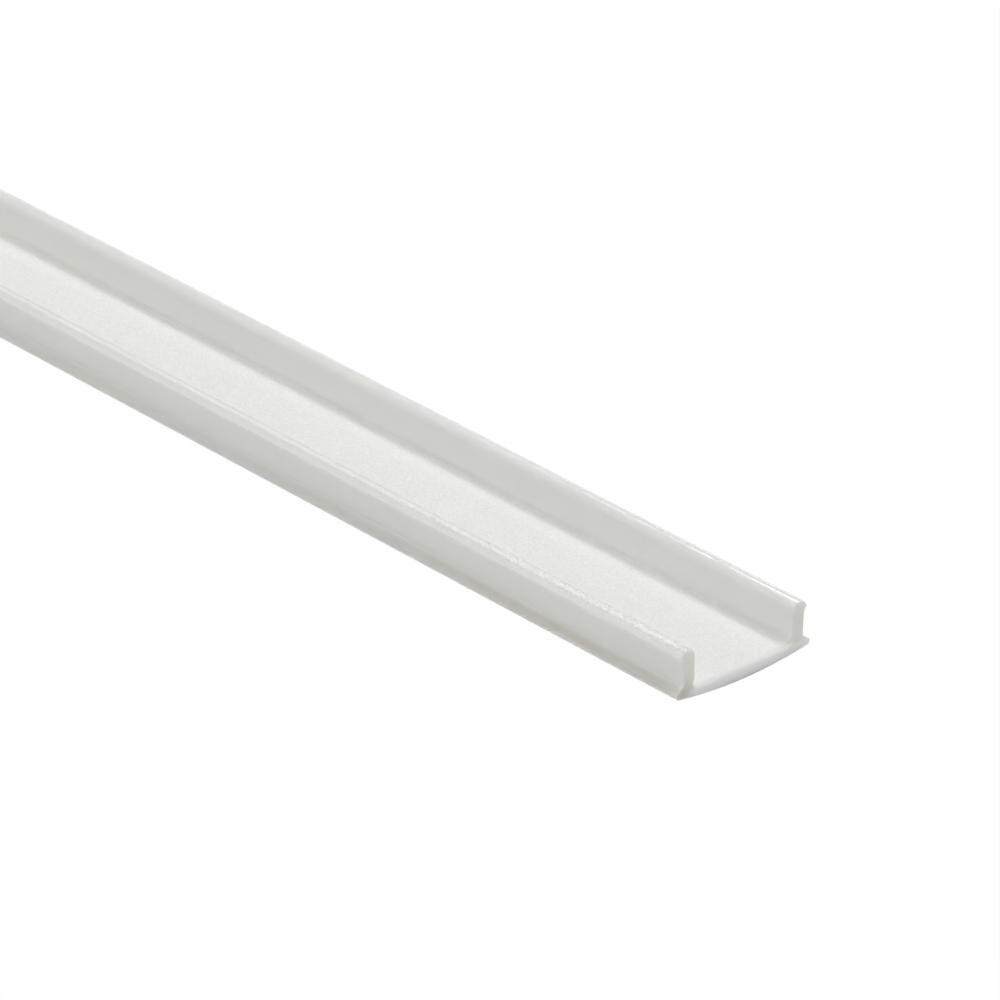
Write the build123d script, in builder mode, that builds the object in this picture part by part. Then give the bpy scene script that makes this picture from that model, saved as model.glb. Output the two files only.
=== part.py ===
from build123d import *

import os
from math import atan2, degrees, radians, sqrt, tan

# Clip-in diffuser cover for an LED strip channel: one extrusion of opal plastic.
# It lies on its convex light-emitting face with its two clip legs up.
# Millimetres. X runs along the extrusion, Y across it and Z up.
# The origin is mid-length, on the lowest line of the convex face.

# The extrusion as a whole
cover_length = 500.0
cover_width = 15.0
overall_height = 5.00

# The light-emitting web: a convex face below, a flat floor above
face_radius = 45.7
web_thickness = 1.30

# The side lips, which cover the edges of the channel that the legs clip into.
# Each has a blunt upright edge and a bevel that climbs from the edge to the leg.
lip_reach = 0.80
lip_edge_flat = 0.19
lip_bevel_angle = 36.5

# The clip legs, with upright inner faces and outer faces that lean out a little
leg_root_thickness = 1.18
leg_lean_angle = 2.2

# The hook along each leg's outer face, and the lead-in slope from its tip up to the leg's top.
# The top's land is the narrow flat between its outer corner and the round-over to the inner face.
hook_reach = 0.315
hook_underside_angle = 50.0
lead_in_rise = 0.66
lead_in_angle = 55.0
leg_top_land = 0.05

# Corner radii of the extrusion die
lip_lower_radius = 0.25
lip_upper_radius = 0.10
lip_root_radius = 0.12
hook_foot_radius = 0.55
hook_tip_radius = 0.10
leg_top_outer_radius = 0.45
leg_inner_root_radius = 0.30


def lip_lower_centre():
    """Centre of the right lip's lower rounding, which touches the convex face from inside."""
    across = cover_width / 2 - lip_lower_radius
    height = face_radius - sqrt((face_radius - lip_lower_radius) ** 2 - across**2)
    return across, height


def leg_corners():
    """Corners of the right lip and leg before they are rounded, from the lip's edge to the web's middle."""
    edge_across = cover_width / 2
    edge_foot_height = lip_lower_centre()[1]
    upper_rounding = lip_upper_radius * tan(radians(90 - lip_bevel_angle) / 2)
    edge_height = edge_foot_height + lip_edge_flat + upper_rounding

    root_across = edge_across - lip_reach
    root_height = edge_height + lip_reach * tan(radians(lip_bevel_angle))
    inner_face = root_across - leg_root_thickness

    def outer_face(height):
        return root_across + (height - root_height) * tan(radians(leg_lean_angle))

    hook_tip_height = overall_height - lead_in_rise
    hook_tip = (outer_face(hook_tip_height) + hook_reach, hook_tip_height)
    hook_foot_height = hook_tip_height - hook_reach * tan(radians(hook_underside_angle))
    lead_in_run = lead_in_rise / tan(radians(lead_in_angle))

    return [
        (edge_across, edge_foot_height),
        (edge_across, edge_height),
        (root_across, root_height),
        (outer_face(hook_foot_height), hook_foot_height),
        hook_tip,
        (hook_tip[0] - lead_in_run, overall_height),
        (inner_face, overall_height),
        (inner_face, web_thickness),
        (0, web_thickness),
    ]


def leg_top_inner_radius():
    """Radius of the round-over from the leg's top to its inner face, which leaves only the land flat."""
    top_outer, top_inner = leg_corners()[5:7]
    outer_rounding = leg_top_outer_radius * tan(radians(lead_in_angle / 2))
    return top_outer[0] - outer_rounding - leg_top_land - top_inner[0]


# The diffuser cover: its section, drawn as the right half and mirrored, run along the length
with BuildPart() as diffuser_cover:
    with BuildSketch(Plane.YZ.offset(-cover_length / 2)) as section:
        with BuildLine() as outline:
            lower = lip_lower_centre()
            touch_angle = degrees(atan2(lower[1] - face_radius, lower[0]))
            convex_face = CenterArc((0, face_radius), face_radius, -90, touch_angle + 90)
            lip_lower = CenterArc(lower, lip_lower_radius, touch_angle, -touch_angle)
            leg = FilletPolyline(
                leg_corners(),
                radius=[
                    lip_upper_radius,
                    lip_root_radius,
                    hook_foot_radius,
                    hook_tip_radius,
                    leg_top_outer_radius,
                    leg_top_inner_radius(),
                    leg_inner_root_radius,
                ],
            )
            mirror(about=Plane.YZ)
        make_face()
    extrude(amount=cover_length)

diffuser_cover.part.label = "diffuser_cover"
os.makedirs("parts", exist_ok=True)
export_step(diffuser_cover.part, "parts/diffuser_cover.step")
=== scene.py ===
from math import acos, atan2, cos, hypot, pi, radians, sin, sqrt, tan

import bmesh
import bpy
from bpy.props import FloatProperty, FloatVectorProperty, PointerProperty
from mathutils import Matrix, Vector
from mathutils.geometry import tessellate_polygon


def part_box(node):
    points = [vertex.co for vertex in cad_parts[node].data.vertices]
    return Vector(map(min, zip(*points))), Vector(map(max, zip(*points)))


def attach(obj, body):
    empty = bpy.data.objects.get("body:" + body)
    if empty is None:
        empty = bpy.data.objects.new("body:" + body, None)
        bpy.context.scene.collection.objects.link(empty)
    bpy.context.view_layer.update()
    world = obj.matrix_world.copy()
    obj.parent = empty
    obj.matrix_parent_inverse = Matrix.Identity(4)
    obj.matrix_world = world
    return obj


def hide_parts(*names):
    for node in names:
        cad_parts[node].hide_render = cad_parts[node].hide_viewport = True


bl_info = {
    "name": "Opal Diffuser Cover",
    "version": (1, 0, 0),
    "blender": (4, 5, 0),
    "location": "View3D > Sidebar > Diffuser Cover",
    "description": "Makes the clip-in opal cover of an LED strip channel and sets it on a pale floor",
    "category": "Object",
}

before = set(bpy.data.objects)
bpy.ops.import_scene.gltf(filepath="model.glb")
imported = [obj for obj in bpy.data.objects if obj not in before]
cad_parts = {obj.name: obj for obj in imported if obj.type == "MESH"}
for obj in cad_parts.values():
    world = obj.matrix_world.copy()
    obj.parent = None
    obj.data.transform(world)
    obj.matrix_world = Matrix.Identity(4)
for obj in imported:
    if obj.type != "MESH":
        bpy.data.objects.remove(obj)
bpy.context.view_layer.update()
solid_low, solid_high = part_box("diffuser_cover")
solid_size = solid_high - solid_low

MM = 0.001


def linear(hex_colour):
    """Linear RGB of an sRGB hex value."""
    parts = [int(hex_colour[i : i + 2], 16) / 255 for i in (1, 3, 5)]
    return tuple(c / 12.92 if c <= 0.04045 else ((c + 0.055) / 1.055) ** 2.4 for c in parts)


def length(name, description, default, least=0.0):
    """A length property, in metres."""
    return FloatProperty(name=name, description=description, default=default, min=least, unit="LENGTH", precision=6)


def angle(name, description, default):
    """An angle property, whose default is given in degrees."""
    return FloatProperty(name=name, description=description, default=radians(default), subtype="ANGLE")


def colour(name, description, default):
    """A colour property, whose default is given as sRGB hex."""
    return FloatVectorProperty(
        name=name, description=description, default=linear(default), size=3, min=0, max=1, subtype="COLOR"
    )


def share(name, description, default):
    """A plain number from 0 upwards."""
    return FloatProperty(name=name, description=description, default=default, min=0)


def span(name, description, first, last):
    """Two plain numbers, from 0 upwards."""
    return FloatVectorProperty(name=name, description=description, default=(first, last), size=2, min=0)


class CoverSizes(bpy.types.PropertyGroup):
    """Sizes of the extruded section and of its cut ends."""

    cover_length: length("Length", "Length of the extrusion", solid_size.x)
    cover_width: length("Width", "Width over both lips", solid_size.y)
    overall_height: length("Height", "Height from the convex face to the legs' tops", solid_size.z)
    face_radius: length("Face radius", "Radius of the convex light-emitting face", 45.7 * MM)
    web_thickness: length("Web thickness", "Height of the flat floor over the face's lowest line", 1.30 * MM)
    lip_reach: length("Lip reach", "How far each lip stands out past its leg's root", 0.80 * MM)
    lip_edge_flat: length("Lip edge flat", "Upright flat between the two roundings of each lip's edge", 0.19 * MM)
    lip_bevel_angle: angle("Lip bevel", "Slope of the lip from its upper edge up to the leg", 36.5)
    leg_root_thickness: length("Leg thickness", "Thickness of each leg at its root", 1.18 * MM)
    leg_lean_angle: angle("Leg lean", "Outward lean of each leg's outer face", 2.2)
    hook_reach: length("Hook reach", "How far each hook stands out from its leg", 0.315 * MM)
    hook_underside_angle: angle("Hook underside", "Slope of the hook's underside", 50.0)
    lead_in_rise: length("Lead-in rise", "Height of the slope from the hook's tip to the leg's top", 0.66 * MM)
    lead_in_angle: angle("Lead-in slope", "Slope from the hook's tip up to the leg's top", 55.0)
    leg_top_land: length("Top land", "Narrow flat left along each leg's top", 0.05 * MM)
    lip_lower_radius: length("Lip lower radius", "Rounding between the convex face and each lip's edge", 0.25 * MM)
    lip_upper_radius: length("Lip upper radius", "Rounding between each lip's edge and its bevel", 0.10 * MM)
    lip_root_radius: length("Lip root radius", "Inside rounding where a lip meets its leg", 0.12 * MM)
    hook_foot_radius: length("Hook foot radius", "Inside rounding under the hook", 0.55 * MM)
    hook_tip_radius: length("Hook tip radius", "Rounding of the hook's tip", 0.10 * MM)
    leg_top_outer_radius: length("Top outer radius", "Rounding between the leg's top and the lead-in", 0.45 * MM)
    leg_inner_root_radius: length("Inner root radius", "Inside rounding where a leg meets the floor", 0.30 * MM)
    saw_cut_rounding: length("Cut edge rounding", "Rounding of the edges of the saw-cut ends", 0.08 * MM)
    floor_edge_rounding: length("Floor edge rounding", "Rounding of the floor's edge at the saw-cut ends", 0.36 * MM)


class OpalFinish(bpy.types.PropertyGroup):
    """Colours and surface of the opal plastic. A light is a share of the plastic's own colour."""

    body_colour: colour("Opal colour", "Milky white of the plastic", "#F4F5F2")
    cut_colour: colour("Cut colour", "Milky white of the legs' cut ends", "#EBEBE6")
    # Painted glow: the web's cut end is painted paler, standing in for light that comes out through it
    web_end_glow_colour: colour("Web end colour", "Milky white of the web's cut end, where light comes out", "#FFFFFA")
    # Painted shade: the low part of each lip's bevel is painted darker and warmer where the leg shades it
    painted_shade_colour: colour("Dust colour", "Dust-dulled plastic low on each lip's bevel", "#CCC5BC")
    # Painted glow: the inner corners are painted paler, lifting the shade of the crease between leg and floor
    root_glow_colour: colour("Root colour", "Milky white of the inner corner, where the plastic is thickest", "#FCFCF8")
    mark_colour: colour("Mark colour", "Small scuffs and specks", "#D2CEC6")
    glow_depth: length("Glow depth", "How far light travels inside the plastic", 1.4 * MM)

    wall_roughness: share("Wall roughness", "Roughness of the faces that the die drew smooth", 0.38)
    floor_roughness: share("Floor roughness", "Roughness of the frosted floor", 0.45)
    crown_roughness: share("Crown roughness", "Roughness of the round-overs of the legs' tops", 0.60)
    polish_roughness: share("Polish roughness", "Roughness of the polished dashes along the legs' tops", 0.15)
    crinkle_roughness: share("Crinkle roughness", "Roughness of the crinkled strip along each leg's top", 0.20)
    cut_roughness: share("Cut roughness", "Roughness of the saw-cut ends", 0.5)

    cloud_length: length("Cloud length", "Length of one cloud in the milky filler", 9 * MM)
    cloud_width: length("Cloud width", "Width of one cloud in the milky filler", 2 * MM)
    cloud_light: span("Cloud light", "Darkest and lightest clouds", 0.99, 1.0)
    plain_light: share("Plain light", "Faces that are neither frosted nor crinkled", 0.99)
    grain_size: length("Frost grain", "Width of one grain of the frosted floor", 0.17 * MM)
    grain_height: length("Frost height", "Height of the frosted floor's grain", 0.030 * MM)
    grain_light: span("Frost light", "Darkest and lightest grains of the frosted floor", 0.90, 1.03)
    crinkle_length: length("Crinkle length", "Length of one crinkle along the legs' tops", 0.30 * MM)
    crinkle_width: length("Crinkle width", "Width of one crinkle across the legs' tops", 0.22 * MM)
    crinkle_height: length("Crinkle height", "Height of the crinkles", 0.036 * MM)
    crinkle_light: span("Crinkle light", "Darkest and lightest crinkles", 0.82, 1.02)
    # Painted fading of the crinkled strip's sparkle: plain and darker far from the near end
    far_crinkle_dimmed: share("Far crinkle light", "The crinkled strip far from the near end", 0.88)
    wave_length: length("Wave length", "Length of one wave along the round-overs", 0.90 * MM)
    wave_width: length("Wave width", "Width of one wave across the round-overs", 0.35 * MM)
    wave_height: length("Wave height", "Height of the waves", 0.0035 * MM)
    # Painted shade: the round-overs are painted darker the more squarely they face up
    crown_up_shade: share("Crown light", "The round-overs where they face straight up", 0.80)
    dashes_per_wave: share("Dashes per wave", "How many polished dashes lie in the length of one wave", 1.3)
    polish_reach: length("Polish reach", "How far from the near end the polished dashes fade out", 60 * MM)
    polish_full: length("Polish full", "How far from the near end the polished dashes start to fade", 12 * MM)
    die_line_length: length("Die line length", "Length of the faint lines that the die drew", 60 * MM)
    die_line_width: length("Die line width", "Width of the faint lines that the die drew", 0.25 * MM)
    die_line_height: length("Die line height", "Height of the faint die lines", 0.0008 * MM)

    # How far the painted glow of the inner corners reaches
    root_glow_reach: length("Root reach", "How far the colour of the inner corner spreads from it", 1.1 * MM)
    # The painted shade low on the lips' bevels: where it is strongest, how far it spreads and its patches
    bevel_shade_inset: length("Dust inset", "How far in from each lip's edge the dust is thickest", 0.20 * MM)
    bevel_shade_rise: length("Dust rise", "How far above the foot of each lip's bevel the dust is thickest", 0.14 * MM)
    bevel_shade_reach: length("Dust reach", "How far the dust spreads from there", 0.55 * MM)
    shade_patch_length: length("Dust patch length", "Length of one patch of dust", 2.5 * MM)
    shade_patch_width: length("Dust patch width", "Width of one patch of dust", 0.6 * MM)
    shade_patches: span("Dust patches", "Thinnest and thickest patches, as shares of the dust", 0.7, 1.1)
    shade_along: span("Dust along", "Dust far from and close to the near end, as shares of it", 0.68, 1.2)

    saw_line_depth: length("Saw line depth", "How deep one saw mark goes into the cut edges' rounding", 1.0 * MM)
    saw_line_length: length("Saw line length", "Length of one mark of the saw's teeth", 3.0 * MM)
    saw_line_width: length("Saw line width", "Width of one mark of the saw's teeth", 0.12 * MM)
    saw_line_height: length("Saw line height", "Height of the saw's marks", 0.004 * MM)
    saw_line_slope: angle("Saw line slope", "Slope of the saw's marks", 12)
    cut_cloud_size: length("Cut cloud size", "Size of one cloud on the cut ends", 0.5 * MM)
    cut_cloud_light: span("Cut cloud light", "Darkest and lightest clouds on the cut ends", 0.97, 1.0)
    # Heights over which the painted glow of the web's cut end is full and then fades out
    web_glow_full: length("Web end full", "Height up to which the cut end has all of the web end's colour", 0.9 * MM)
    web_glow_top: length("Web end top", "Height at which the web end's colour has faded out", 1.35 * MM)


class CoverStage(bpy.types.PropertyGroup):
    """Floor, light and camera."""

    floor_colour: colour("Floor colour", "Pale floor under the cover", "#F8F8F7")
    floor_size: length("Floor size", "Side of the square floor", 14.0)
    floor_white: share("Floor white", "Share of plain white that the camera sees in the floor", 0.98)
    sky_strength: share("Sky strength", "Even soft light from all round", 0.20)
    light_distance: length("Light distance", "Distance of each light from the cover's near end", 2.0)
    strip_length: length("Strip length", "Length of both overhead lights, along the cover", 3.8)
    soft_shift: length(
        "Soft shift", "How far the broad light lies from the near end towards the far end", -0.3, least=-10.0
    )
    bright_shift: length(
        "Bright shift", "How far the narrow light lies from the near end towards the far end", 0.7, least=-10.0
    )
    soft_radiance: share("Soft radiance", "Brightness of the broad overhead light, where 1 is white", 1.44)
    soft_width: length("Soft width", "Width of the broad overhead light", 1.7)
    soft_lean: angle("Soft lean", "Lean of the broad light from straight overhead towards the back", 2.0)
    bright_radiance: share("Bright radiance", "Brightness of the narrow overhead light", 5.0)
    bright_width: length("Bright width", "Width of the narrow overhead light", 0.20)
    bright_lean: angle("Bright lean", "Lean of the narrow light from straight overhead towards the back", 16.0)
    fill_radiance: share("Fill radiance", "Brightness of the fill light in front", 1.0)
    fill_side: length("Fill side", "Side of the square fill light", 1.0)
    fill_rise: angle("Fill rise", "Height of the fill light over the horizon", 35.0)
    camera_aim_along: length(
        "Aim along", "Point of the floor that the camera looks at, along the cover", 0.212654, least=-10.0
    )
    camera_aim_across: length(
        "Aim across", "Point of the floor that the camera looks at, across the cover", 0.006153, least=-10.0
    )
    camera_turn: angle("Camera turn", "Turn of the camera from the cover's length towards its front", 41.3785)
    camera_rise: angle("Camera rise", "Height of the camera over the horizon", 27.2967)
    camera_distance: length("Camera distance", "Distance of the camera from the point that it looks at", 0.587520)
    camera_lens: FloatProperty(
        name="Lens", description="Focal length for a 36 mm wide picture", default=244.3955, unit="CAMERA"
    )


# How finely the mesh is divided: steps round the face, round the lips' lower edges, round a cut edge and along the
# cover, the spacing of points along straight runs, and how close to a corner such a run's last point lies
FACE_STEPS = 24
NOSE_STEPS = 10
CUT_EDGE_STEPS = 5
LENGTH_STEPS = 50
RUN_SPACING = 0.45 * MM
FLOOR_SPACING = 2.4 * MM
RUN_MARGIN = 0.03 * MM

# Points of the section that lie closer together than this are one
SAME_POINT = 0.002 * MM

# How far the rounding of the cut edges and the strengths of the finishes blend round the section
ROUNDING_BLEND = 0.5 * MM
FINISH_BLEND = 0.12 * MM

# How strongly each surface of the section shows each finish
FINISHES = {
    "frost": {"floor": 1.0, "inner root": 0.4},
    "crinkle": {"land": 1.0, "top": 1.0, "crown": 0.02, "edge": 0.7, "lip top": 0.8},
    "waves": {"crown": 1.0},
}

# The spans of a noise's values over which a pattern goes from nothing to all
WHOLE = (0.0, 1.0)
NOISE_SPAN = (0.3, 0.7)
CRINKLE_SPAN = (0.35, 0.65)
# The patches of painted shade on the bevels
SHADE_PATCH_SPAN = (0.25, 0.75)
DASH_SPAN = (0.40, 0.50)

# How squarely a round-over faces up where the polished dashes begin, and where they are full
RIDGE_SPAN = (0.78, 0.92)

# Small scuffs and specks: (from the near end, across, height, radius), in mm
MARKS = (
    (-9.01, 1.12, 1.30, 0.10),
    (0.00, 5.55, 3.80, 0.09),
    (-8.62, -6.74, 2.72, 0.10),
    (-5.77, -7.33, 1.20, 0.11),
    (-0.58, -6.92, 1.51, 0.10),
)

# Painted shade on the cut end of the front lip and the leg's foot, given as the marks are
SHADED_FRONT_CORNER = (0.0, -7.1, 0.95, 1.8)

# How strong a mark or the painted shade of the front corner is in its middle, and how much of its radius that middle
# takes up
MARK_STRENGTH, MARK_CORE = 0.5, 0.3
FRONT_SHADE_STRENGTH, FRONT_SHADE_CORE = 0.9, 1 / 6

# Polycarbonate bends light by this much, and its milky filler lets red spread a little further than blue
OPAL_IOR = 1.585
OPAL_SPREAD = (1.0, 0.97, 0.9)

WHITE = (1.0, 1.0, 1.0)

# The camera's film, in mm, and the nearest and farthest that it sees, in metres
FILM_WIDTH = 36
NEAREST_SEEN, FARTHEST_SEEN = 0.01, 50


def arc(centre, radius, first, turn, steps):
    """Points of an arc that starts at an angle and turns by another."""
    angles = [first + turn * k / steps for k in range(steps + 1)]
    return [(centre[0] + radius * cos(a), centre[1] + radius * sin(a)) for a in angles]


def rounded(before, corner, after, radius, steps):
    """Points of the arc that rounds a corner."""
    before, corner, after = Vector(before), Vector(corner), Vector(after)
    back, on = (before - corner).normalized(), (after - corner).normalized()
    half = acos(back.dot(on)) / 2
    centre = corner + (back + on).normalized() * (radius / sin(half))
    start = corner + back * (radius / tan(half)) - centre
    end = corner + on * (radius / tan(half)) - centre
    first = atan2(start.y, start.x)
    turn = (atan2(end.y, end.x) - first + pi) % (2 * pi) - pi
    return arc(centre, radius, first, turn, steps)


def run_points(start, end, spacing=RUN_SPACING):
    """Points inside a straight run: one close to each end, which keeps the run flat when it is smooth shaded,
    and others evenly between."""
    across, up = end[0] - start[0], end[1] - start[1]
    run = hypot(across, up)
    if run < 3 * RUN_MARGIN:
        return []
    inner = run - 2 * RUN_MARGIN
    pieces = max(1, round(inner / spacing))
    shares = [(RUN_MARGIN + inner * k / pieces) / run for k in range(pieces + 1)]
    return [(start[0] + across * s, start[1] + up * s) for s in shares]


def lip_lower_centre(size):
    """Centre of the lip's lower rounding, which touches the convex face from inside."""
    across = size.cover_width / 2 - size.lip_lower_radius
    return across, size.face_radius - sqrt((size.face_radius - size.lip_lower_radius) ** 2 - across**2)


def lip_edge_height(size):
    """Height of the corner between the lip's upright edge and its bevel, before it is rounded."""
    upper_rounding = size.lip_upper_radius * tan((pi / 2 - size.lip_bevel_angle) / 2)
    return lip_lower_centre(size)[1] + size.lip_edge_flat + upper_rounding


def half_section(size):
    """Right half of the section, from the face's lowest line round to the middle of the floor.

    Gives one list of (surface, points) for each stretch, in order."""
    nose_centre = lip_lower_centre(size)
    touch = atan2(nose_centre[1] - size.face_radius, nose_centre[0])
    face = arc((0, size.face_radius), size.face_radius, -pi / 2, touch + pi / 2, FACE_STEPS)
    nose = arc(nose_centre, size.lip_lower_radius, touch, -touch, NOSE_STEPS)[1:]

    edge_across = size.cover_width / 2
    root_across = edge_across - size.lip_reach
    inner_across = root_across - size.leg_root_thickness
    edge_height = lip_edge_height(size)
    root_height = edge_height + size.lip_reach * tan(size.lip_bevel_angle)
    tip_height = size.overall_height - size.lead_in_rise
    foot_height = tip_height - size.hook_reach * tan(size.hook_underside_angle)
    lean = tan(size.leg_lean_angle)
    tip_across = root_across + (tip_height - root_height) * lean + size.hook_reach
    top_across = tip_across - size.lead_in_rise / tan(size.lead_in_angle)
    outer_rounding = size.leg_top_outer_radius * tan(size.lead_in_angle / 2)
    inner_radius = top_across - outer_rounding - size.leg_top_land - inner_across
    corners = [
        nose[-1],
        (edge_across, edge_height),
        (root_across, root_height),
        (root_across + (foot_height - root_height) * lean, foot_height),
        (tip_across, tip_height),
        (top_across, size.overall_height),
        (inner_across, size.overall_height),
        (inner_across, size.web_thickness),
        (0, size.web_thickness),
    ]
    # The straight run before each corner, the surface of the corner's rounding, its radius and its steps
    roundings = (
        ("edge", "lip top", size.lip_upper_radius, 6),
        ("bevel", "groove", size.lip_root_radius, 5),
        ("wall", "hook", size.hook_foot_radius, 8),
        ("underside", "hook", size.hook_tip_radius, 8),
        ("lead-in", "top", size.leg_top_outer_radius, 8),
        ("land", "crown", inner_radius, 20),
        ("inner wall", "inner root", size.leg_inner_root_radius, 8),
    )
    stretches = [("face", face), ("nose", nose)]
    last = nose[-1]
    for k, (run, surface, radius, steps) in enumerate(roundings):
        points = rounded(*corners[k : k + 3], radius, steps)
        stretches += [(run, run_points(last, points[0])), (surface, points)]
        last = points[-1]
    stretches.append(("floor", run_points(last, corners[-1], FLOOR_SPACING) + [corners[-1]]))
    return stretches


def outline(size):
    """The whole section as one closed loop of (across, height, surface)."""
    right = []
    for surface, points in half_section(size):
        for across, height in points:
            if right and hypot(across - right[-1][0], height - right[-1][1]) < SAME_POINT:
                continue
            right.append((across, height, surface))
    left = [(-across, height, surface) for across, height, surface in reversed(right) if across > SAME_POINT]
    return right + left


def bevel_shade_share(size, finish, across, height):
    """How strong the painted shade is at a point: from 1 low on the lip's bevel to 0 away from it."""
    thickest_across = size.cover_width / 2 - finish.bevel_shade_inset
    thickest_height = lip_edge_height(size) + finish.bevel_shade_rise
    return max(0.0, 1.0 - hypot(abs(across) - thickest_across, height - thickest_height) / finish.bevel_shade_reach)


def root_share(size, finish, across, height):
    """How close a point is to the inner corner of the leg's root: from 1 in it to 0 away from it."""
    inner_face = size.cover_width / 2 - size.lip_reach - size.leg_root_thickness
    return max(0.0, 1.0 - hypot(abs(across) - inner_face, height - size.web_thickness) / finish.root_glow_reach)


def softened(values, points, width):
    """The values along the closed outline, blended with their neighbours over a short width."""
    blended = []
    count = len(points)
    for i in range(count):
        total, weight = values[i], 1.0
        for way in (1, -1):
            j, away = i, 0.0
            while True:
                k = (j + way) % count
                away += hypot(points[k][0] - points[j][0], points[k][1] - points[j][1])
                if away > width or k == i:
                    break
                closeness = 1 - away / width
                total, weight, j = total + values[k] * closeness, weight + closeness, k
        blended.append(total / weight)
    return blended


def inward_steps(points):
    """For each point of the closed outline, the step that brings the two edges there one unit into the plastic."""
    steps = []
    count = len(points)
    for i in range(count):
        here = Vector(points[i][:2])
        before = (here - Vector(points[i - 1][:2])).normalized()
        after = (Vector(points[(i + 1) % count][:2]) - here).normalized()
        along = (before + after).normalized()
        steps.append(Vector((-along.y, along.x)) / along.dot(before))
    return steps


def stations(size):
    """Rings along the length, each with its place and how far a point moves there along and into the plastic, as
    shares of the cut edge's rounding at that point."""
    half = size.cover_length / 2
    turns = [pi / 2 * k / CUT_EDGE_STEPS for k in range(CUT_EDGE_STEPS + 1)]
    far = [(-half, 1 - sin(t), 1 - cos(t)) for t in reversed(turns)]
    near = [(half, sin(t) - 1, 1 - cos(t)) for t in turns]
    middle = [(-half + size.cover_length * k / LENGTH_STEPS, 0.0, 0.0) for k in range(1, LENGTH_STEPS)]
    return far + middle + near


def cover_mesh(size, finish):
    """The extrusion as one closed mesh, with its finishes as named attributes."""
    loop = outline(size)
    count = len(loop)
    surfaces = [surface for _, _, surface in loop]
    rings = stations(size)
    wide = {"floor": size.floor_edge_rounding, "inner root": size.floor_edge_rounding}
    roundings = softened([wide.get(surface, size.saw_cut_rounding) for surface in surfaces], loop, ROUNDING_BLEND)
    section = list(zip(loop, inward_steps(loop), roundings))
    vertices = [
        (x + along * r, across + step.x * inward * r, height + step.y * inward * r)
        for x, along, inward in rings
        for (across, height, _), step, r in section
    ]
    faces = []
    for ring in range(len(rings) - 1):
        a, b = ring * count, (ring + 1) * count
        for i in range(count):
            j = (i + 1) % count
            faces.append((a + i, a + j, b + j, b + i))
    side_faces = len(faces)
    for first in (0, (len(rings) - 1) * count):
        cut = [Vector(vertex) for vertex in vertices[first : first + count]]
        faces += [tuple(first + i for i in triangle) for triangle in tessellate_polygon([cut])]
    mesh = bpy.data.meshes.new("diffuser_cover_opal")
    mesh.from_pydata(vertices, [], faces)

    shown = {
        name: softened([strengths.get(surface, 0.0) for surface in surfaces], loop, FINISH_BLEND)
        for name, strengths in FINISHES.items()
    }
    # Painted shade low on the lips' bevels and painted glow in the inner corners, kept as attributes
    shown["bevel_shade"] = [bevel_shade_share(size, finish, across, height) for across, height, _ in loop]
    shown["root"] = [root_share(size, finish, across, height) for across, height, _ in loop]
    for name, values in shown.items():
        mesh.attributes.new(name, "FLOAT", "POINT").data.foreach_set("value", values * len(rings))

    build = bmesh.new()
    build.from_mesh(mesh)
    build.faces.ensure_lookup_table()
    for face in build.faces:
        ring = face.index // count
        cap = face.index >= side_faces
        rounding = ring < CUT_EDGE_STEPS or ring >= len(rings) - 1 - CUT_EDGE_STEPS
        face.smooth = not cap
        face.material_index = int(cap or rounding)
    caps = set(build.faces[side_faces:])
    inner_edges = [edge for edge in build.edges if caps.issuperset(edge.link_faces)]
    bmesh.ops.beautify_fill(build, faces=list(caps), edges=inner_edges, method="ANGLE")
    bmesh.ops.recalc_face_normals(build, faces=build.faces)
    build.to_mesh(mesh)
    build.free()
    return mesh


def bare_tree(owner):
    """The node tree of a new material or world, with nothing in it yet."""
    owner.use_nodes = True
    owner.node_tree.nodes.clear()
    return owner.node_tree


def add(tree, kind, inputs=None, **settings):
    """Adds a node with its settings. An input is found by its name or number, and is filled with a value, a colour's
    three parts, a socket, or a node's first output in use."""
    node = tree.nodes.new(kind)
    for name, value in settings.items():
        setattr(node, name, value)
    for key, value in (inputs or {}).items():
        if isinstance(key, int):
            socket = node.inputs[key]
        else:
            socket = next(each for each in node.inputs if each.enabled and each.name == key)
        if isinstance(value, bpy.types.Node):
            value = next(each for each in value.outputs if each.enabled)
        if isinstance(value, bpy.types.NodeSocket):
            tree.links.new(value, socket)
        else:
            socket.default_value = (*value, 1) if socket.type == "RGBA" else value
    return node


def between(value_span, result_span=WHOLE):
    """Inputs of a Map Range node: the span that its value comes from, and the one that it is brought to."""
    return dict(zip(("From Min", "From Max", "To Min", "To Max"), (*value_span, *result_span)))


def noise_pattern(tree, place, size, noise_span, result_span=WHOLE, detail=1.0, slope=0.0):
    """Noise whose spots have a size along, across and up, with a span of its values brought to another. Its detail
    is how many times finer spots are laid over those."""
    scale = [1 / each for each in size]
    spots = add(tree, "ShaderNodeMapping", {"Vector": place, "Rotation": (slope, 0, 0), "Scale": scale})
    noise = add(tree, "ShaderNodeTexNoise", {"Vector": spots, "Scale": 1.0, "Detail": detail})
    return add(tree, "ShaderNodeMapRange", {"Value": noise, **between(noise_span, result_span)})


def spotted(tree, place, near_end, base, spot_colour, strength, core, spots):
    """The base colour with round spots of another: strong inside a core, a share of the radius, and fading outside."""
    for along, across, height, radius in spots:
        middle = (near_end + along * MM, across * MM, height * MM)
        away = add(tree, "ShaderNodeVectorMath", {0: place, 1: middle}, operation="DISTANCE")
        fade = between((core * radius * MM, radius * MM), (strength, 0.0))
        spot = add(tree, "ShaderNodeMapRange", {"Value": away, **fade})
        base = add(tree, "ShaderNodeMix", {"Factor": spot, "A": base, "B": spot_colour}, data_type="RGBA")
    return base


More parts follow.
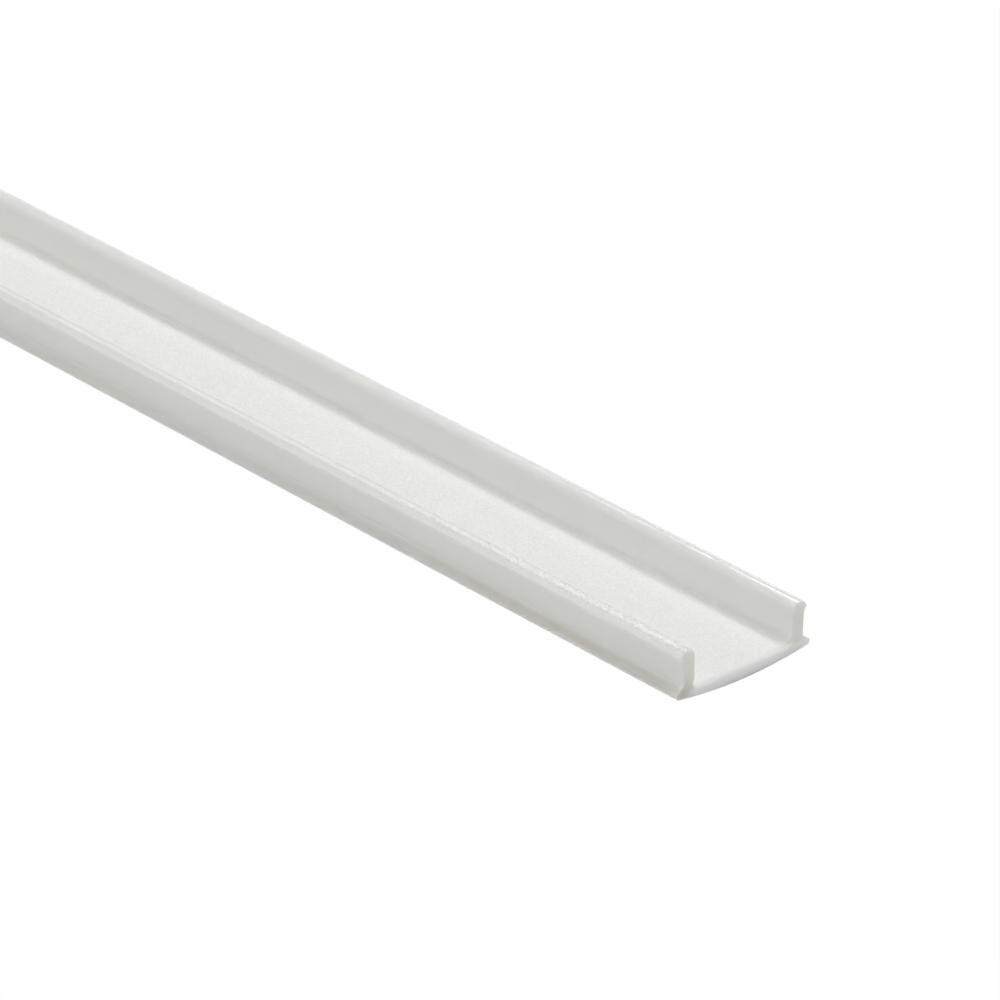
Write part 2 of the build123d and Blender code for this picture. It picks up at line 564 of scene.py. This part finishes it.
def opal_shader(tree, finish, base, roughness, relief, polish=0.0):
    """The plastic itself: milky all through, so light enters, spreads by about a wall's thickness and comes out.
    Where it is burnished, a clear gloss lies over that."""
    bump = add(tree, "ShaderNodeBump", {"Strength": 1.0, "Distance": 1.0, "Height": relief})
    plastic = {
        "Base Color": base,
        "Roughness": roughness,
        "IOR": OPAL_IOR,
        "Subsurface Weight": 1.0,
        "Subsurface Radius": OPAL_SPREAD,
        "Subsurface Scale": finish.glow_depth,
        "Coat Weight": polish,
        "Coat Roughness": finish.polish_roughness,
        "Coat IOR": OPAL_IOR,
        "Normal": bump,
    }
    shader = add(tree, "ShaderNodeBsdfPrincipled", plastic, subsurface_method="RANDOM_WALK")
    add(tree, "ShaderNodeOutputMaterial", {"Surface": shader})


def layered(tree, where, plain, frosted, rounded_over, crinkled):
    """One number all over the extruded faces: the plain one, with that of each finish laid over it."""
    for name, value in (("frost", frosted), ("waves", rounded_over), ("crinkle", crinkled)):
        plain = add(tree, "ShaderNodeMix", {"Factor": where[name], "A": plain, "B": value})
    return plain


def extruded_relief(tree, finish, place, where):
    """Height in metres of the frost, the crinkles, the waves and the die lines together."""
    grain = (finish.grain_size,) * 3
    crinkle = (finish.crinkle_length, finish.crinkle_width, finish.crinkle_width)
    wave = (finish.wave_length, finish.wave_width, finish.wave_width)
    die_line = (finish.die_line_length, finish.die_line_width, finish.die_line_width)
    relief = 0.0
    # Size of one spot, its finer detail, its height and where it shows
    for size, detail, height, strength in (
        (grain, 1.5, finish.grain_height, where["frost"]),
        (crinkle, 1.0, finish.crinkle_height, where["crinkle"]),
        (wave, 1.0, finish.wave_height, where["waves"]),
        (die_line, 2.0, finish.die_line_height, 1.0),
    ):
        pattern = noise_pattern(tree, place, size, NOISE_SPAN, (0.0, height), detail)
        relief = add(tree, "ShaderNodeMath", {0: pattern, 1: strength, 2: relief}, operation="MULTIPLY_ADD")
    return relief


def extruded_colour(tree, finish, place, where):
    """Milky white, a little cloudy, with the light and dark spots of the frost and the crinkles. Painted glow makes
    the inner corners paler. Painted shade darkens the round-overs where they face up and lies in patches low on the
    bevels. The crinkled strip is plain and dimmer far from the near end, a painted fading of its sparkle."""
    grain = (finish.grain_size,) * 3
    crinkle = (finish.crinkle_length, finish.crinkle_width, finish.crinkle_width)
    cloud = (finish.cloud_length, finish.cloud_width, finish.cloud_width)
    shade_patch = (finish.shade_patch_length, finish.shade_patch_width, finish.shade_patch_width)
    clouds = noise_pattern(tree, place, cloud, NOISE_SPAN, finish.cloud_light, detail=3.0)
    frosted = noise_pattern(tree, place, grain, NOISE_SPAN, finish.grain_light, detail=2.0)
    # Painted shade: the round-overs are darker the more squarely they face up
    squarely_up = add(tree, "ShaderNodeMath", {0: where["up"], 1: where["up"]}, operation="MULTIPLY")
    painted_shade_up = between(WHOLE, (1.0, finish.crown_up_shade))
    rounded_over = add(tree, "ShaderNodeMapRange", {"Value": squarely_up, **painted_shade_up})
    # Crinkles spotted near the end; far from it, plain and dimmer, a painted fading of the strip's sparkle
    crinkles = noise_pattern(tree, place, crinkle, CRINKLE_SPAN, finish.crinkle_light, detail=2.0)
    crinkled = add(tree, "ShaderNodeMix", {"Factor": where["near"], "A": finish.far_crinkle_dimmed, "B": crinkles})
    spots = layered(tree, where, finish.plain_light, frosted, rounded_over, crinkled)
    light = add(tree, "ShaderNodeMath", {0: clouds, 1: spots}, operation="MULTIPLY")
    # Painted glow in the inner corners, lifting the crease's shade
    plastic = add(
        tree,
        "ShaderNodeMix",
        {"Factor": where["root"], "A": finish.body_colour, "B": finish.root_glow_colour},
        data_type="RGBA",
    )
    body = add(
        tree, "ShaderNodeMix", {"Factor": 1.0, "A": plastic, "B": light}, data_type="RGBA", blend_type="MULTIPLY"
    )

    # Patchy painted shade low on the lips' bevels, stronger towards the near end
    patches = noise_pattern(tree, place, shade_patch, SHADE_PATCH_SPAN, finish.shade_patches, detail=3.0)
    more_near = add(tree, "ShaderNodeMapRange", {"Value": where["near"], **between(WHOLE, finish.shade_along)})
    patchy = add(tree, "ShaderNodeMath", {0: patches, 1: more_near}, operation="MULTIPLY")
    bevel_shade = add(tree, "ShaderNodeMath", {0: where["bevel_shade"], 1: patchy}, operation="MULTIPLY", use_clamp=True)
    return add(tree, "ShaderNodeMix", {"Factor": bevel_shade, "A": body, "B": finish.painted_shade_colour}, data_type="RGBA")


def polished_dashes(tree, finish, place, where):
    """Where the round-overs are burnished: in dashes along their tops, which fade out away from the near end."""
    dash_length, dash_width = (each / finish.dashes_per_wave for each in (finish.wave_length, finish.wave_width))
    dashes = noise_pattern(tree, place, (dash_length, dash_width, dash_width), DASH_SPAN)
    ridge = add(tree, "ShaderNodeMapRange", {"Value": where["up"], **between(RIDGE_SPAN)})
    near_dashes = add(tree, "ShaderNodeMath", {0: where["near"], 1: dashes}, operation="MULTIPLY")
    return add(tree, "ShaderNodeMath", {0: near_dashes, 1: ridge}, operation="MULTIPLY")


def extruded_roughness(tree, finish, where, polish):
    """Satin walls and frost, duller round-overs with polished dashes, and crinkles that look wet near the end."""
    rounded_over = add(
        tree, "ShaderNodeMix", {"Factor": polish, "A": finish.crown_roughness, "B": finish.polish_roughness}
    )
    crinkled = add(
        tree, "ShaderNodeMix", {"Factor": where["near"], "A": finish.wall_roughness, "B": finish.crinkle_roughness}
    )
    return layered(tree, where, finish.wall_roughness, finish.floor_roughness, rounded_over, crinkled)


def opal_polycarbonate_extruded(finish, near_end):
    """Polycarbonate with an opal filler, drawn through a die: satin walls with faint lines along the length, a floor
    frosted like sugar icing, and a crinkled, wet-looking strip along the legs' tops and the lips' edges, where the
    skin dragged as it cooled. On the round-overs beside that strip, slight waves and burnished dashes break the
    highlight up.

    Real die lines are a few hundredths of a millimetre wide, too fine to show, so they are drawn as wide as they
    need to be. The frost's finest grains are left out for the same reason."""
    material = bpy.data.materials.new("opal_polycarbonate_extruded")
    tree = bare_tree(material)
    object_space = add(tree, "ShaderNodeTexCoord")
    place = object_space.outputs["Object"]
    where = {
        name: add(tree, "ShaderNodeAttribute", attribute_name=name).outputs["Fac"]
        for name in (*FINISHES, "bevel_shade", "root")
    }
    along = add(tree, "ShaderNodeSeparateXYZ", {"Vector": place}).outputs["X"]
    fading = between((near_end - finish.polish_reach, near_end - finish.polish_full))
    where["near"] = add(tree, "ShaderNodeMapRange", {"Value": along, **fading})
    where["up"] = add(tree, "ShaderNodeSeparateXYZ", {"Vector": object_space.outputs["Normal"]}).outputs["Z"]

    relief = extruded_relief(tree, finish, place, where)
    base = extruded_colour(tree, finish, place, where)
    base = spotted(tree, place, near_end, base, finish.mark_colour, MARK_STRENGTH, MARK_CORE, MARKS)
    polish = polished_dashes(tree, finish, place, where)
    roughness = extruded_roughness(tree, finish, where, polish)
    burnished = add(tree, "ShaderNodeMath", {0: polish, 1: where["waves"]}, operation="MULTIPLY")
    opal_shader(tree, finish, base, roughness, relief, burnished)
    return material


def opal_polycarbonate_saw_cut(finish, near_end):
    """The same polycarbonate where a fine saw cut it to length: a little duller, painted paler low on the web's end,
    where light comes out (painted glow), painted shade at the front lower corner, and faint marks of the teeth.

    Real marks of so fine a saw are narrower than a pixel, so they are drawn as wide as they need to be."""
    material = bpy.data.materials.new("opal_polycarbonate_saw_cut")
    tree = bare_tree(material)
    place = add(tree, "ShaderNodeTexCoord").outputs["Object"]
    saw_line = (finish.saw_line_depth, finish.saw_line_length, finish.saw_line_width)
    saw_height = (0.0, finish.saw_line_height)
    relief = noise_pattern(tree, place, saw_line, WHOLE, saw_height, detail=2.0, slope=finish.saw_line_slope)
    cloud = (finish.cut_cloud_size,) * 3
    clouds = noise_pattern(tree, place, cloud, NOISE_SPAN, finish.cut_cloud_light, detail=3.0)
    # Painted glow: paler low on the cut end, through the web
    height = add(tree, "ShaderNodeSeparateXYZ", {"Vector": place}).outputs["Z"]
    web = add(tree, "ShaderNodeMapRange", {"Value": height, **between((finish.web_glow_top, finish.web_glow_full))})
    plastic = add(
        tree, "ShaderNodeMix", {"Factor": web, "A": finish.cut_colour, "B": finish.web_end_glow_colour}, data_type="RGBA"
    )
    base = add(
        tree, "ShaderNodeMix", {"Factor": 1.0, "A": plastic, "B": clouds}, data_type="RGBA", blend_type="MULTIPLY"
    )
    # Painted shade at the front lower corner of the cut end, then the real scuffs and specks
    for spot_colour, strength, core, spots in (
        (finish.painted_shade_colour, FRONT_SHADE_STRENGTH, FRONT_SHADE_CORE, [SHADED_FRONT_CORNER]),
        (finish.mark_colour, MARK_STRENGTH, MARK_CORE, MARKS),
    ):
        base = spotted(tree, place, near_end, base, spot_colour, strength, core, spots)
    opal_shader(tree, finish, base, finish.cut_roughness, relief)
    return material


def seen_share(tree):
    """1 for what the camera sees, directly, in gloss or through something clear, and 0 for what lights the object."""
    path = add(tree, "ShaderNodeLightPath")
    seen = path.outputs["Is Camera Ray"]
    for ray in ("Is Glossy Ray", "Is Transmission Ray"):
        seen = add(tree, "ShaderNodeMath", {0: seen, 1: path.outputs[ray]}, operation="ADD", use_clamp=True)
    return seen


def pale_floor_paint(stage):
    """Matt white paint on a flat board: even and pale, so it takes the cover's soft shadow. The camera sees it mostly
    as plain white, and from below it is clear."""
    material = bpy.data.materials.new("pale_floor_paint")
    tree = bare_tree(material)
    paint = add(tree, "ShaderNodeBsdfDiffuse", {"Color": stage.floor_colour})
    white = add(tree, "ShaderNodeEmission", {"Color": WHITE, "Strength": 1.0})
    white_share = add(tree, "ShaderNodeMath", {0: seen_share(tree), 1: stage.floor_white}, operation="MULTIPLY")
    surface = add(tree, "ShaderNodeMixShader", {0: white_share, 1: paint, 2: white})
    clear = add(tree, "ShaderNodeBsdfTransparent")
    below = add(tree, "ShaderNodeNewGeometry").outputs["Backfacing"]
    either = add(tree, "ShaderNodeMixShader", {0: below, 1: surface, 2: clear})
    add(tree, "ShaderNodeOutputMaterial", {"Surface": either})
    return material


class COVER_OT_make_cover(bpy.types.Operator):
    """Makes the opal diffuser cover in place of the plain solid"""

    bl_idname = "diffuser_cover.make_cover"
    bl_label = "Make Diffuser Cover"

    def execute(self, context):
        size, finish = context.scene.cover_sizes, context.scene.opal_finish
        mesh = cover_mesh(size, finish)
        near_end = size.cover_length / 2
        mesh.materials.append(opal_polycarbonate_extruded(finish, near_end))
        mesh.materials.append(opal_polycarbonate_saw_cut(finish, near_end))
        cover = bpy.data.objects.new("diffuser_cover_opal", mesh)
        context.scene.collection.objects.link(cover)
        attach(cover, "root")
        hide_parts("diffuser_cover")
        return {"FINISHED"}


class COVER_OT_make_stage(bpy.types.Operator):
    """Lays the pale floor and sets the soft light and the camera"""

    bl_idname = "diffuser_cover.make_stage"
    bl_label = "Make Stage"

    def execute(self, context):
        scene, stage = context.scene, context.scene.cover_stage
        self.lay_floor(scene, stage)
        self.hang_sky(scene, stage)
        self.hang_lights(scene, stage)
        self.stand_camera(scene, stage)
        scene.view_settings.view_transform = "Standard"
        return {"FINISHED"}

    def lay_floor(self, scene, stage):
        """A flat square under the cover, which isn't part of it."""
        half = stage.floor_size / 2
        mesh = bpy.data.meshes.new("floor")
        mesh.from_pydata([(-half, -half, 0), (half, -half, 0), (half, half, 0), (-half, half, 0)], [], [(0, 1, 2, 3)])
        mesh.materials.append(pale_floor_paint(stage))
        floor = bpy.data.objects.new("floor", mesh)
        scene.collection.objects.link(floor)

    def hang_sky(self, scene, stage):
        """Even light from all round. The camera, gloss and clear things see it as plain white."""
        scene.world = bpy.data.worlds.new("soft_sky")
        tree = bare_tree(scene.world)
        light = add(tree, "ShaderNodeBackground", {"Color": WHITE, "Strength": stage.sky_strength})
        white = add(tree, "ShaderNodeBackground", {"Color": WHITE, "Strength": 1.0})
        either = add(tree, "ShaderNodeMixShader", {0: seen_share(tree), 1: light, 2: white})
        add(tree, "ShaderNodeOutputWorld", {"Surface": either})

    def hang_lights(self, scene, stage):
        """A broad soft light overhead, a narrow one beside it that the glossy edges show, and a weak fill in front.
        A light's energy is what makes it look as bright as its radiance says."""
        near_end = scene.cover_sizes.cover_length / 2
        # Shift towards the far end, lean towards the back, length, width and radiance
        strip, side, front = stage.strip_length, stage.fill_side, stage.fill_rise - pi / 2
        lights = {
            "broad_soft_light": (stage.soft_shift, stage.soft_lean, strip, stage.soft_width, stage.soft_radiance),
            "narrow_strip_light": (
                stage.bright_shift, stage.bright_lean, strip, stage.bright_width, stage.bright_radiance
            ),
            "fill_light": (0.0, front, side, side, stage.fill_radiance),
        }
        for name, (shift, lean, long, wide, radiance) in lights.items():
            light = bpy.data.lights.new(name, "AREA")
            light.shape = "RECTANGLE"
            light.size, light.size_y = long, wide
            light.energy = radiance * pi * long * wide
            lamp = bpy.data.objects.new(name, light)
            lamp.location = (near_end - shift, stage.light_distance * sin(lean), stage.light_distance * cos(lean))
            lamp.rotation_euler = (-lean, 0, 0)
            scene.collection.objects.link(lamp)

    def stand_camera(self, scene, stage):
        """The camera over the near end, where the photograph was taken from."""
        camera = bpy.data.cameras.new("camera")
        camera.sensor_width = FILM_WIDTH
        camera.lens = stage.camera_lens
        camera.clip_start, camera.clip_end = NEAREST_SEEN, FARTHEST_SEEN
        eye = bpy.data.objects.new("camera", camera)
        turn, rise = stage.camera_turn, stage.camera_rise
        away = Vector((cos(rise) * cos(turn), -cos(rise) * sin(turn), sin(rise)))
        aim = Vector((stage.camera_aim_along, stage.camera_aim_across, 0))
        eye.location = aim + away * stage.camera_distance
        eye.rotation_mode = "QUATERNION"
        eye.rotation_quaternion = away.to_track_quat("Z", "Y")
        scene.collection.objects.link(eye)
        scene.camera = eye


class COVER_PT_sidebar(bpy.types.Panel):
    """Sizes, finish and stage of the diffuser cover"""

    bl_label = "Diffuser Cover"
    bl_idname = "COVER_PT_sidebar"
    bl_space_type = "VIEW_3D"
    bl_region_type = "UI"
    bl_category = "Diffuser Cover"

    def draw(self, context):
        scene = context.scene
        groups = (
            (COVER_OT_make_cover.bl_idname, scene.cover_sizes),
            (None, scene.opal_finish),
            (COVER_OT_make_stage.bl_idname, scene.cover_stage),
        )
        for operator, group in groups:
            box = self.layout.box()
            if operator:
                box.operator(operator)
            for name in group.__annotations__:
                box.prop(group, name)


CLASSES = (CoverSizes, OpalFinish, CoverStage, COVER_OT_make_cover, COVER_OT_make_stage, COVER_PT_sidebar)


def register():
    for cls in CLASSES:
        bpy.utils.register_class(cls)
    bpy.types.Scene.cover_sizes = PointerProperty(type=CoverSizes)
    bpy.types.Scene.opal_finish = PointerProperty(type=OpalFinish)
    bpy.types.Scene.cover_stage = PointerProperty(type=CoverStage)


def unregister():
    del bpy.types.Scene.cover_stage
    del bpy.types.Scene.opal_finish
    del bpy.types.Scene.cover_sizes
    for cls in reversed(CLASSES):
        bpy.utils.unregister_class(cls)


def main():
    register()
    bpy.ops.diffuser_cover.make_stage()
    bpy.ops.diffuser_cover.make_cover()


if __name__ == "__main__":
    main()
